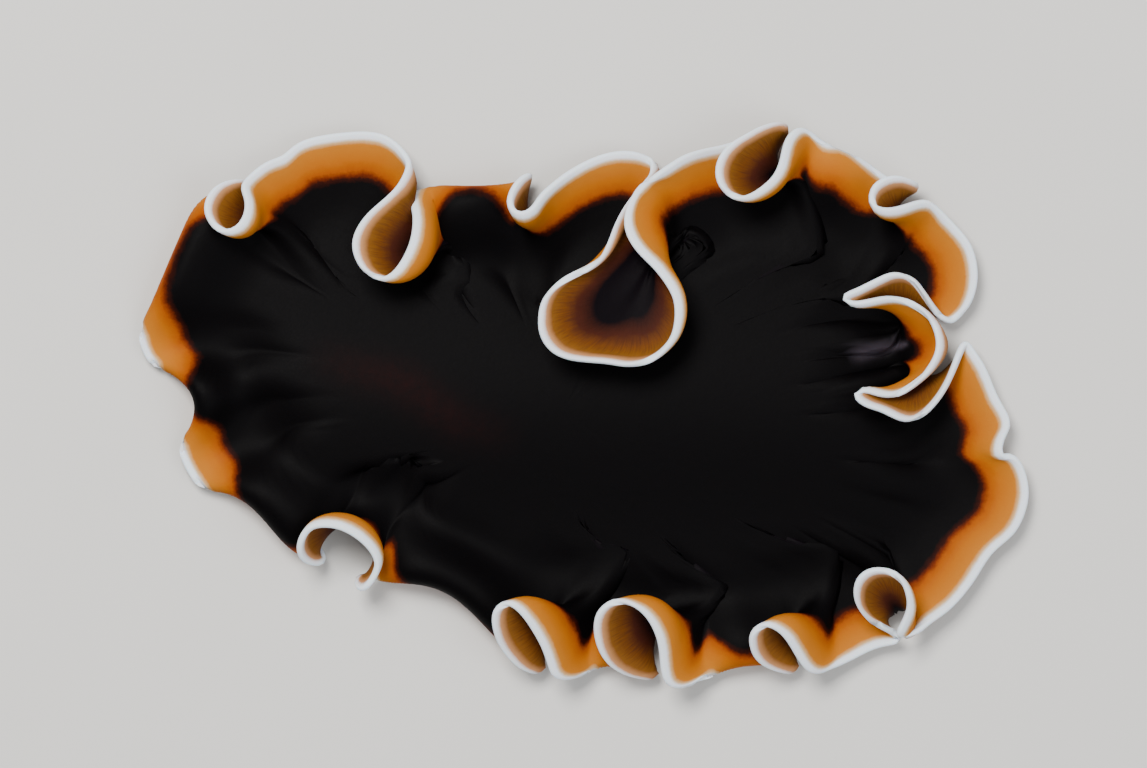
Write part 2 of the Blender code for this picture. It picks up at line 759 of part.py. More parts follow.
def meeting(made, cells):
    """The cells that a solid comes into."""
    tree = tree_of(made)
    corners = np.array([v.co for v in made.data.vertices]) / MILLIMETRE
    low, high = corners.min(axis=0), corners.max(axis=0)
    near = (cells.max(axis=1) > low).all(axis=1) & (cells.min(axis=1) < high).all(axis=1)
    found = []
    for cell in cells[near]:
        one = blocks([cell])
        if tree.overlap(tree_of(one)):
            found.append(cell)
        bpy.data.objects.remove(one)
    return found


def clear_of_each_other(parts):
    """Fuses each solid's own crossing walls, and cuts it clear of the earlier solids near it."""
    far_away = blocks([np.array([(x, y, 60.0 + z) for x in (0, 1) for y in (0, 1) for z in (0, 1)])])
    for number, (made, cells) in enumerate(parts):
        if crosses_itself(made):
            cut(made, far_away)
        for other, other_cells in parts[:number]:
            found = meeting(made, other_cells)
            for attempt in range(5):
                if not found:
                    break
                cutter = blocks(found)
                cut(made, cutter)
                bpy.data.objects.remove(cutter)
                touched = {face for own, face in tree_of(made).overlap(tree_of(other))}
                groups = [tuple(other.data.polygons[face].vertices) for face in touched]
                found = around(other, groups, ROOM)
        for attempt in range(4):
            found = around(made, pinched(made), PINCH_ROOM)
            if not found:
                break
            cutter = blocks(found)
            cut(made, cutter)
            bpy.data.objects.remove(cutter)
        merge_short(made)
        keep_largest(made)
    bpy.data.objects.remove(far_away)


def margin_part(data, lines, shape, name, begin, end):
    """One lobe or fold of the coloured band, from the rim to the band's inner edge."""
    where = spaced(lines, begin, end, RIM_STEP)
    rolled = shape["kind"] == "lobe" and max(point[3] for point in shape["points"]) > 0.3
    levels = FOLD_LEVELS if shape["kind"] == "fold" or rolled else LOBE_LEVELS
    grid = patch(data, where, levels, far=0.5 * CUT)
    return slab(name, grid, ORANGE, 0.45), cells_of(grid)


def flank_part(data, lines, name, begin, end):
    """A stretch of the black body between the band and the trunk."""
    where = spaced(lines, begin, end, FLANK_STEP)
    grid = patch(data, where, FLANK_LEVELS, near=0.5 * CUT, far=0.5 * CUT)
    return slab(name, grid, BLACK, 0.6), cells_of(grid)


def trunk_part(data, line):
    """The middle of the body, one disc that all the flanks meet."""
    steps = np.linalg.norm(np.roll(line, -1, axis=0) - line, axis=1)
    run = np.concatenate(([0.0], np.cumsum(steps)))
    wanted = np.linspace(0.0, run[-1], TRUNK_COLUMNS, endpoint=False)
    where = np.interp(wanted, run, np.arange(SHEET_COLUMNS + 1))
    grid = patch(data, where, TRUNK_LEVELS, near=0.5 * CUT)
    return slab("trunk", grid, BLACK, 0.6, closed=True), cells_of(grid, closed=True)


def centre(parts):
    """Moves the parts so that the origin is at the middle of the whole body's underside."""
    corners = np.array([v.co for made in parts for v in made.data.vertices])
    low, high = corners.min(axis=0), corners.max(axis=0)
    shift = Matrix.Translation((-0.5 * (low[0] + high[0]), -0.5 * (low[1] + high[1]), -low[2]))
    for made in parts:
        made.data.transform(shift)


def main():
    for old in list(bpy.data.objects):
        bpy.data.objects.remove(old)
    data = sheet()
    starts = data["starts"] + [data["starts"][0] + SHEET_COLUMNS]
    margin_lines = level_lines(data, FOLD_LEVELS)
    parts = []
    for shape, begin, end in zip(RIM, starts, starts[1:]):
        pieces = SPLIT.get(shape["name"], (shape["name"],))
        ends = np.linspace(begin, end, len(pieces) + 1)
        for name, first, last in zip(pieces, ends, ends[1:]):
            parts.append(margin_part(data, margin_lines, shape, name, first, last))
    reach_of = {shape["name"]: (begin, end) for shape, begin, end in zip(RIM, starts, starts[1:])}
    cuts = []
    for name, stretch, share in FLANKS:
        begin, end = reach_of[stretch]
        cuts.append(begin + share * (end - begin))
    cuts.append(cuts[0] + SHEET_COLUMNS)
    flank_lines = level_lines(data, FLANK_LEVELS)
    for (name, stretch, share), begin, end in zip(FLANKS, cuts, cuts[1:]):
        parts.append(flank_part(data, flank_lines, name, begin, end))
    parts.insert(0, trunk_part(data, flank_lines[-1]))
    clear_of_each_other(parts)
    centre([made for made, cells in parts])


main()
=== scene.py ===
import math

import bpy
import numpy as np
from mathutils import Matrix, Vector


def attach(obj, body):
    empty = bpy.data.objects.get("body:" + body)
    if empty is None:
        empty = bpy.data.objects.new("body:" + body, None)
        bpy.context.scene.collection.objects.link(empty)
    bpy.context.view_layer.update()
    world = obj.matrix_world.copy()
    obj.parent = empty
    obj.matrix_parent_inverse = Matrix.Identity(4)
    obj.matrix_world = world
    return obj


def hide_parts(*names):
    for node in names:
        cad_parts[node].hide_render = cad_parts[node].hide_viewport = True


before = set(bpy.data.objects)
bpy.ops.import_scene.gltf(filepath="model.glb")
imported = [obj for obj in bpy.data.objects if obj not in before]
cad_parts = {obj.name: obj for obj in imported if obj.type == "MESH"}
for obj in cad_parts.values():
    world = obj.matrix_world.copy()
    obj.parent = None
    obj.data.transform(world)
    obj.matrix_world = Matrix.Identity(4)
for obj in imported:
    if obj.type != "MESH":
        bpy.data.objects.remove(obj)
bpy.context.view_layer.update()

# The look of a polyclad flatworm, Pseudoceros hancockanus, with its margin ruffled, at life size.
#
# The whole skin is one closed surface over one thin sheet. The sheet's rim is a closed line that runs
# clockwise, seen from above, from the tail over the animal's left side to the head and back along its
# right side. Each row further in is the rim line smoothed over a longer stretch, moved inwards and let
# down to the floor. Lengths are in millimetres here, and the mesh is in metres.

MILLIMETRE = 0.001

# Sizes of the sheet: its thickness from the rim to the ridge on the back, where the ridge lies, how
# far in the margin and the thickening behind it run, the way from the rim to its root, a fold's root,
# and the least share of the rim's length that a root keeps.
RIM_THICKNESS = 0.42
MARGIN_THICKNESS = 0.55
BODY_THICKNESS = 1.1
RIDGE_THICKNESS = 2.3
RIDGE_WIDTH = 7.0
RIDGE_Y = -0.4
RIDGE_END = 26.0
MARGIN_WIDTH = 4.5
THICKENING_WIDTH = 6.0
SHEET_REACH = 5.4
ROOT_LENGTH = 5.0
LEAST_SHARE = 0.05

# A rolled-under edge: radius of the roll, length of the flat hem under it, and hem height.
ROLL_RADIUS = 1.15
ROLL_HEM = 1.4
ROLL_LOW = 0.5

# Smoothing lengths along the rim.
RIM_SOFTNESS = 0.32
WAY_SOFTNESS = 1.5
SHARE_SOFTNESS = 0.4
ROOT_SOFTNESS = 7.5
HEIGHT_SOFTNESS = 2.0
LEAN_SOFTNESS = 1.2
SIDE_SOFTNESS = 9.0
BODY_SOFTNESS = 12.0

# Powers of a row's share of the way from the rim to the root.
ROOT_GROWTH = 1.8
LEAN_GROWTH = 0.65
REACH_GROWTH = 1.15
FOLD_DELAY = 1.6
SINK_START = 1.6
SINK_END = 1.35

# The body's rows: the innermost row's share, and how fast they leave the root's outline.
INNERMOST = 0.02
ROOT_FADING = 5

# Fineness of the worked-out sheet, and of the skin over it.
SHEET_COLUMNS = 4096
SHEET_ROWS = 48
BODY_ROWS = 14
CURVE_STEPS = 24
SKIN_COLUMNS = 1150
RIM_TURNS = 5

# The skin's rows by their distance from the rim: those at the rim, those over the coloured band, and
# how many lie inside the band and how fast they spread out.
BAND_END = 4.0
RIM_ROWS = np.linspace(0.21, 1.0, 5)
BAND_ROWS = np.linspace(1.25, BAND_END, 12)
INSIDE_ROWS = 22
INSIDE_SPREAD = 1.25

# Smoothing of the spaces between the skin's columns, and the rim's least height.
COLUMN_SOFTNESS = 0.4
COLUMN_STEP = 0.06
RIM_LOWEST = 0.02

# How far the streaks' coordinate runs round the whole rim.
STREAK_RUN = 100.0

BODY_MIDDLE = (-1.5, -0.4)


def lobe(name, *points, lean=(0.0, 0.0), steep=0.0):
    """A smooth stretch of the rim: points of x, y, height and how far its edge is rolled under.

    The inner sheet is moved by lean, and the steeper it is, the later it runs inwards.
    """
    return {"name": name, "kind": "lobe", "points": points, "lean": lean, "steep": steep}


def fold(name, lean, *points, steep=1.0):
    """A narrow fold of the rim: points of x, y and height. Its root is moved by lean.

    The steeper the fold is, the later the sheet below its rim runs inwards.
    """
    return {"name": name, "kind": "fold", "points": points, "lean": lean, "steep": steep}


RIM = (
    lobe(
        "tail_lobe_left",
        (-27.9, 2.3, 1.0, 0.3),
        (-29.1, 2.7, 1.0, 0.0),
        (-29.7, 3.6, 1.0, 0.0),
        (-29.9, 4.7, 1.0, 0.0),
        (-29.5, 5.8, 1.1, 0.5),
        (-28.7, 7.2, 1.1, 0.76),
        (-27.9, 9.3, 1.1, 0.80),
        (-27.0, 11.2, 1.1, 0.80),
        (-26.4, 12.9, 1.1, 0.78),
        (-25.6, 14.0, 1.1, 0.6),
        (-24.3, 14.7, 1.4, 0.2),
        steep=0.7,
    ),
    fold(
        "fold_left_1", (3.0, -1.6),
        (-23.0, 15.0, 1.8),
        (-23.8, 15.0, 2.5),
        (-24.6, 14.7, 3.1),
        (-25.2, 14.1, 3.6),
        (-25.5, 13.1, 4.0),
        (-25.1, 12.1, 4.3),
        (-24.2, 11.6, 4.5),
        (-23.3, 11.9, 4.4),
        (-22.8, 12.8, 4.0),
        (-22.8, 13.8, 3.5),
        (-23.1, 14.6, 3.0),
    ),
    lobe(
        "lobe_left_1",
        (-22.6, 15.3, 2.4, 0.0),
        (-21.5, 16.2, 2.0, 0.0),
        (-20.3, 16.7, 1.6, 0.0),
        (-19.4, 17.5, 1.4, 0.0),
        (-17.9, 18.0, 1.3, 0.0),
        (-15.3, 18.3, 1.3, 0.0),
        (-13.6, 18.1, 1.5, 0.0),
        (-12.5, 17.3, 2.0, 0.0),
        (-12.0, 16.3, 2.6, 0.0),
        (-12.2, 15.4, 3.2, 0.0),
    ),
    fold(
        "fold_left_2", (5.0, -1.0),
        (-12.7, 14.5, 3.6),
        (-13.5, 13.7, 3.9),
        (-14.6, 12.7, 4.3),
        (-15.3, 11.7, 4.6),
        (-15.6, 10.7, 4.8),
        (-15.4, 9.7, 4.9),
        (-14.8, 8.8, 5.0),
        (-13.8, 8.4, 5.0),
        (-13.0, 8.7, 4.9),
        (-12.3, 9.6, 4.7),
        (-11.8, 10.7, 4.3),
        (-11.6, 11.7, 3.8),
        (-11.6, 12.7, 3.2),
        (-11.8, 13.7, 2.5),
    ),
    lobe(
        "lobe_left_2",
        (-11.7, 14.5, 2.0, 0.2),
        (-10.9, 14.6, 1.6, 0.6),
        (-9.6, 14.5, 1.5, 0.85),
        (-8.1, 14.4, 1.5, 0.88),
        (-6.6, 14.4, 1.5, 0.88),
        (-5.2, 14.8, 1.4, 0.75),
        (-4.2, 15.4, 1.4, 0.3),
    ),
    fold(
        "fold_left_3", (1.0, -2.6),
        (-3.8, 15.8, 2.0),
        (-4.4, 15.3, 2.6),
        (-4.9, 14.6, 3.2),
        (-5.2, 13.8, 3.7),
        (-5.0, 13.1, 4.0),
        (-4.3, 12.8, 4.1),
        (-3.6, 13.2, 3.8),
        (-3.0, 14.1, 3.2),
    ),
    lobe(
        "lobe_left_3",
        (-2.0, 15.0, 2.5, 0.0),
        (-0.9, 15.8, 1.9, 0.0),
        (0.4, 16.5, 1.5, 0.0),
        (1.6, 16.9, 1.3, 0.0),
        (2.8, 17.0, 1.3, 0.0),
        (3.8, 16.7, 1.2, 0.0),
        (4.4, 15.8, 1.4, 0.0),
    ),
    fold(
        "fold_left_4", (3.4, 1.8),
        (3.9, 14.8, 1.8),
        (3.2, 14.0, 2.3),
        (2.5, 13.1, 2.9),
        (1.9, 12.0, 3.5),
        (1.4, 10.7, 4.1),
        (0.8, 9.6, 4.6),
        (-0.1, 8.9, 4.9),
        (-1.2, 8.4, 5.1),
        (-2.3, 7.7, 5.2),
        (-3.0, 6.8, 5.3),
        (-3.2, 5.7, 5.4),
        (-3.1, 4.6, 5.4),
        (-2.5, 3.6, 5.4),
        (-1.4, 3.0, 5.4),
        (0.0, 2.8, 5.4),
        (1.3, 2.7, 5.4),
        (2.6, 2.5, 5.4),
        (3.8, 2.7, 5.4),
        (4.8, 3.4, 5.4),
        (5.6, 4.4, 5.4),
        (5.9, 5.7, 5.4),
        (5.8, 7.0, 5.4),
        (5.2, 8.1, 5.3),
        (4.4, 9.1, 5.2),
        (3.4, 10.1, 5.1),
        (2.7, 11.2, 4.9),
        (2.5, 12.3, 4.6),
        (2.8, 13.4, 4.2),
        (3.4, 14.4, 3.7),
    ),
    lobe(
        "lobe_left_4",
        (4.4, 15.1, 3.3, 0.0),
        (5.5, 16.0, 2.8, 0.0),
        (6.6, 16.7, 2.2, 0.0),
        (7.8, 17.1, 1.7, 0.0),
        (9.2, 17.4, 1.3, 0.0),
        (10.8, 17.9, 1.2, 0.0),
        (12.2, 18.3, 1.3, 0.0),
    ),
    fold(
        "fold_left_5", (3.2, -1.0),
        (13.2, 18.6, 1.9),
        (12.5, 18.8, 2.7),
        (11.5, 18.5, 3.3),
        (10.6, 18.0, 3.8),
        (9.6, 17.4, 4.2),
        (8.9, 16.6, 4.5),
        (8.6, 15.7, 4.7),
        (8.7, 14.8, 4.8),
        (9.2, 14.1, 4.8),
        (10.0, 13.8, 4.8),
        (10.9, 14.0, 4.6),
        (11.8, 14.6, 4.4),
        (12.5, 15.3, 4.1),
        (12.9, 16.2, 3.7),
        (13.1, 17.1, 3.3),
        (13.4, 17.9, 2.9),
    ),
    lobe(
        "lobe_left_5",
        (14.1, 18.5, 2.4, 0.0),
        (14.9, 18.3, 2.0, 0.0),
        (15.6, 17.7, 1.7, 0.2),
        (16.9, 16.9, 1.4, 0.6),
        (18.2, 16.5, 1.3, 0.5),
        (19.3, 15.9, 1.2, 0.2),
        (20.2, 15.2, 1.2, 0.0),
    ),
    fold(
        "fold_left_6", (1.0, -2.4),
        (21.2, 15.0, 1.5),
        (22.1, 14.8, 2.0),
        (21.8, 15.0, 2.6),
        (20.9, 15.3, 3.2),
        (20.0, 15.2, 3.6),
        (19.2, 14.7, 3.9),
        (18.9, 14.0, 4.0),
        (19.2, 13.3, 4.0),
        (20.1, 13.1, 3.8),
        (21.1, 13.3, 3.4),
        (22.0, 13.6, 3.0),
        (22.8, 13.7, 2.6),
    ),
    lobe(
        "lobe_front_left",
        (23.5, 13.2, 2.2, 0.0),
        (24.8, 12.0, 1.7, 0.0),
        (25.9, 10.6, 1.5, 0.0),
        (26.3, 8.6, 1.5, 0.0),
        (25.8, 6.7, 1.5, 0.0),
        (24.5, 5.7, 1.5, 0.0),
    ),
    fold(
        "pseudotentacle_left", (1.7, -1.2),
        (23.4, 6.1, 2.2),
        (22.4, 7.4, 3.0),
        (21.5, 8.5, 3.8),
        (20.4, 8.8, 4.3),
        (19.2, 8.3, 4.7),
        (18.0, 7.7, 4.9),
        (16.9, 7.2, 5.0),
        (17.7, 6.8, 4.8),
        (18.9, 7.0, 4.6),
        (20.0, 7.2, 4.3),
        (21.1, 7.0, 4.0),
        (22.3, 6.3, 3.7),
        (23.0, 5.5, 3.4),
    ),
    lobe(
        "front_margin",
        (23.3, 4.7, 3.5, 0.0),
        (23.4, 3.8, 3.4, 0.0),
        (23.1, 2.9, 3.5, 0.0),
        lean=(2.4, 0.0),
        steep=1.0,
    ),
    fold(
        "pseudotentacle_right", (1.7, 1.2),
        (22.6, 2.1, 3.3),
        (21.6, 1.2, 3.7),
        (20.5, 0.5, 4.1),
        (19.5, 0.5, 4.4),
        (18.5, 0.8, 4.7),
        (17.7, 0.6, 4.9),
        (18.4, -0.1, 4.9),
        (19.6, -0.5, 4.7),
        (20.6, -1.0, 4.5),
        (21.5, -1.2, 4.2),
        (22.5, -0.6, 3.7),
        (23.5, 0.6, 3.1),
        (24.2, 1.9, 2.5),
        (24.8, 3.2, 2.1),
    ),
    lobe(
        "lobe_front_right",
        (25.3, 4.1, 1.8, 0.0),
        (26.0, 3.6, 1.6, 0.0),
        (26.8, 2.5, 1.5, 0.0),
        (27.6, 0.6, 1.4, 0.0),
        (28.5, -1.2, 1.6, 0.0),
        (28.0, -2.4, 2.0, 0.0),
        (27.9, -3.5, 2.2, 0.0),
        (28.8, -3.5, 1.9, 0.0),
        (29.5, -4.6, 1.5, 0.0),
    ),
    lobe(
        "lobe_right_1",
        (29.7, -6.4, 1.4, 0.0),
        (28.9, -8.5, 1.5, 0.0),
        (27.2, -10.1, 1.6, 0.0),
        (25.9, -12.1, 1.6, 0.0),
        (24.4, -13.8, 1.8, 0.0),
        (22.6, -14.9, 2.2, 0.0),
    ),
    fold(
        "fold_right_1", (2.2, -1.4),
        (20.7, -15.5, 2.8),
        (21.0, -14.7, 3.3),
        (21.4, -13.6, 3.8),
        (21.3, -12.7, 4.2),
        (21.0, -11.9, 4.5),
        (20.4, -11.2, 4.7),
        (19.6, -10.9, 4.8),
        (18.7, -11.0, 4.8),
        (18.0, -11.6, 4.6),
        (17.8, -12.5, 4.2),
        (18.0, -13.4, 3.7),
        (18.7, -14.2, 3.1),
        (19.7, -14.8, 2.4),
        (20.8, -15.4, 1.6),
    ),
    lobe(
        "lobe_right_2",
        (20.7, -15.8, 1.4, 0.0),
        (19.0, -16.6, 1.3, 0.0),
        (17.6, -17.3, 1.4, 0.0),
        (16.2, -17.8, 1.8, 0.0),
    ),
    fold(
        "fold_right_2", (4.2, 1.6),
        (15.0, -18.0, 2.5),
        (14.3, -17.3, 3.1),
        (13.8, -16.5, 3.6),
        (13.3, -15.7, 4.1),
        (12.7, -15.1, 4.4),
        (12.0, -14.8, 4.6),
        (11.3, -14.9, 4.5),
        (10.9, -15.4, 4.2),
        (10.9, -16.1, 3.7),
        (11.2, -16.9, 3.1),
        (11.8, -17.5, 2.5),
        (12.7, -17.9, 2.0),
        (13.6, -18.1, 1.6),
        steep=0.4,
    ),
    lobe(
        "lobe_right_3",
        (13.6, -17.8, 1.2, 0.4),
        (12.2, -17.4, 1.1, 0.8),
        (10.6, -17.3, 1.2, 0.85),
        (9.2, -17.7, 1.5, 0.6),
        (7.9, -18.3, 2.1, 0.2),
        (6.6, -18.8, 2.6, 0.0),
    ),
    fold(
        "fold_right_3", (4.8, -0.8),
        (5.4, -18.8, 3.0),
        (5.0, -17.8, 3.4),
        (4.9, -16.7, 3.8),
        (4.7, -15.6, 4.3),
        (4.2, -14.5, 4.7),
        (3.5, -13.7, 5.0),
        (2.7, -13.3, 5.1),
        (1.8, -13.1, 5.1),
        (1.1, -13.4, 4.9),
        (0.6, -14.1, 4.6),
        (0.5, -15.1, 4.1),
        (0.7, -16.1, 3.6),
        (1.2, -17.1, 3.0),
        (2.0, -17.8, 2.4),
        (3.0, -18.2, 1.9),
        (4.3, -18.3, 1.5),
        steep=0.0,
    ),
    lobe(
        "lobe_right_4",
        (3.8, -17.8, 1.2, 0.4),
        (2.6, -17.3, 1.1, 0.8),
        (1.2, -17.3, 1.3, 0.7),
        (0.0, -17.9, 1.9, 0.3),
        (-1.1, -18.3, 2.5, 0.0),
    ),
    fold(
        "fold_right_4", (4.6, 1.2),
        (-2.2, -18.3, 3.0),
        (-2.6, -17.3, 3.4),
        (-3.0, -16.2, 3.9),
        (-3.6, -15.1, 4.4),
        (-4.2, -14.2, 4.8),
        (-4.9, -13.5, 5.0),
        (-5.5, -13.3, 5.0),
        (-6.1, -13.6, 4.8),
        (-6.3, -14.3, 4.4),
        (-6.2, -15.1, 4.0),
        (-5.9, -16.0, 3.4),
        (-5.3, -16.9, 2.8),
        (-4.5, -17.7, 2.2),
        (-3.4, -18.1, 1.7),
        steep=0.4,
    ),
    lobe(
        "lobe_right_5",
        (-3.6, -17.7, 1.3, 0.4),
        (-4.8, -16.9, 1.2, 0.8),
        (-5.9, -15.6, 1.1, 0.9),
        (-7.2, -14.1, 1.0, 0.97),
        (-8.8, -12.6, 1.0, 1.0),
        (-10.8, -11.8, 1.0, 1.0),
        (-12.6, -11.9, 1.0, 1.0),
        (-14.0, -12.3, 1.2, 0.7),
    ),
    fold(
        "fold_right_5", (1.6, 2.6),
        (-15.2, -11.9, 2.0),
        (-15.6, -12.3, 2.6),
        (-15.1, -12.6, 3.0),
        (-14.6, -12.2, 3.3),
        (-14.2, -11.5, 3.6),
        (-14.0, -10.8, 3.9),
        (-14.3, -10.0, 4.2),
        (-14.9, -9.3, 4.5),
        (-15.7, -8.7, 4.7),
        (-16.6, -8.3, 4.8),
        (-17.5, -8.2, 4.8),
        (-18.3, -8.3, 4.7),
        (-18.9, -8.8, 4.5),
        (-19.2, -9.5, 4.1),
        (-19.2, -10.2, 3.6),
        (-18.8, -10.8, 3.0),
        (-18.1, -11.2, 2.3),
    ),
    lobe(
        "lobe_right_6",
        (-18.0, -10.9, 1.4, 0.6),
        (-19.0, -10.5, 1.1, 0.95),
        (-20.2, -9.2, 1.0, 1.0),
        (-21.4, -7.6, 1.0, 1.0),
        (-22.7, -6.2, 1.0, 1.0),
    ),
    lobe(
        "tail_lobe_right",
        (-23.9, -5.7, 1.0, 0.8),
        (-25.4, -5.8, 1.2, 0.1),
        (-26.6, -4.6, 1.2, 0.0),
        (-27.2, -3.0, 1.2, 0.0),
        (-26.9, -2.1, 1.2, 0.2),
        (-26.1, -1.4, 1.0, 0.9),
        (-25.7, -0.5, 1.0, 1.0),
        (-25.8, 0.6, 1.0, 1.0),
        (-26.7, 1.6, 1.0, 1.0),
        steep=0.8,
    ),
)

# Channels of a point of the rim line.
CHANNELS = 8
X, Y, HEIGHT, UNDER, LEAN_X, LEAN_Y, ROOT, STEEP = range(CHANNELS)


def rim_points(shape):
    """The stretch's points with all their channels.

    A lobe's root is as long as its rim, and a fold's is ROOT_LENGTH, however far its rim runs.
    """
    placed = np.array(shape["points"])
    points = np.zeros((len(placed), CHANNELS))
    points[:, :placed.shape[1]] = placed
    points[:, LEAN_X:LEAN_Y + 1] = shape["lean"]
    points[:, STEEP] = shape["steep"]
    points[:, ROOT] = 1.0
    if shape["kind"] == "fold":
        points[:, ROOT] = ROOT_LENGTH / np.hypot(*np.diff(placed[:, :2], axis=0).T).sum()
    return points


def through(points, steps):
    """A closed Catmull-Rom curve through the points, with the same number of steps between them."""
    before = np.roll(points, 1, axis=0)
    after = np.roll(points, -1, axis=0)
    later = np.roll(points, -2, axis=0)
    t = (np.arange(steps) / steps)[None, :, None]
    p0, p1, p2, p3 = (p[:, None, :] for p in (before, points, after, later))
    curve = 0.5 * (
        2.0 * p1
        + (p2 - p0) * t
        + (2.0 * p0 - 5.0 * p1 + 4.0 * p2 - p3) * t ** 2
        + (3.0 * p1 - p0 - 3.0 * p2 + p3) * t ** 3
    )
    return curve.reshape(-1, points.shape[1])


def run_along(values):
    """Length from the first point to each point of a closed line, and the whole length."""
    steps = np.linalg.norm(np.roll(values, -1, axis=0) - values, axis=1)
    return np.concatenate(([0.0], np.cumsum(steps)))


def evenly(values, run, count):
    """The closed line's channels at evenly spaced values of run."""
    wanted = np.linspace(0.0, run[-1], count, endpoint=False)
    closed = np.vstack((values, values[:1]))
    return np.stack([np.interp(wanted, run, channel) for channel in closed.T], axis=1)


def smoothed(values, length, step):
    """A Gaussian mean over the closed line, with the given standard length."""
    waves = np.fft.rfftfreq(len(values), step) * 2.0 * math.pi
    weight = np.exp(-0.5 * (waves * length) ** 2)
    return np.fft.irfft(np.fft.rfft(values, axis=0) * weight[:, None], len(values), axis=0)


def rim_line():
    """The rim's channels, spaced evenly along the root line, and the root line's length.

    The root line grows by a step of the rim times the root's share of it.
    """
    curve = through(np.vstack([rim_points(shape) for shape in RIM]), CURVE_STEPS)
    run = run_along(curve[:, :HEIGHT + 1])
    line = evenly(curve, run, SHEET_COLUMNS)
    step = run[-1] / SHEET_COLUMNS
    shape = smoothed(line[:, :UNDER], RIM_SOFTNESS, step)
    ways = smoothed(line[:, UNDER:ROOT], WAY_SOFTNESS, step)
    root = np.maximum(smoothed(line[:, ROOT:STEEP], SHARE_SOFTNESS, step), LEAST_SHARE)
    steep = smoothed(line[:, STEEP:], WAY_SOFTNESS, step)
    line = np.hstack((shape, ways, root, steep))
    rim_run = run_along(line[:, :HEIGHT + 1])
    root_run = np.concatenate(([0.0], np.cumsum(line[:, ROOT] * np.diff(rim_run))))
    return evenly(line, root_run, SHEET_COLUMNS), root_run[-1]


def rolled_edge(run):
    """Inward way and height of an edge that is rolled under, and the way past its roll, at each run.

    The hem runs outwards at its own height, the roll is half a circle, and the rest runs inwards.
    """
    turn = np.clip((run - ROLL_HEM) / ROLL_RADIUS, 0.0, math.pi)
    rest = np.maximum(run - ROLL_HEM - math.pi * ROLL_RADIUS, 0.0)
    inward = ROLL_RADIUS - ROLL_RADIUS * np.sin(turn) + np.maximum(ROLL_HEM - run, 0.0) + rest
    height = ROLL_LOW + ROLL_RADIUS * (1.0 - np.cos(turn))
    return inward, height, rest


def thickness(x, y, run):
    """Thin at the rim, thicker inwards, with a low ridge along the midline.

    It grows evenly over the margin and then in a smooth step to the body's. The ridge is a bell across
    the body, and it sinks with the fourth power of the way to the ends.
    """
    growing = np.clip(run / MARGIN_WIDTH, 0.0, 1.0)
    margin = RIM_THICKNESS + (MARGIN_THICKNESS - RIM_THICKNESS) * growing
    inside = np.clip((run - MARGIN_WIDTH) / THICKENING_WIDTH, 0.0, 1.0)
    inside = inside * inside * (3.0 - 2.0 * inside)
    ends = np.clip(1.25 - (x / RIDGE_END) ** 4, 0.0, 1.0)
    ridge = (RIDGE_THICKNESS - BODY_THICKNESS) * ends * np.exp(-((y - RIDGE_Y) / RIDGE_WIDTH) ** 2)
    return margin + inside * (BODY_THICKNESS + ridge - margin)


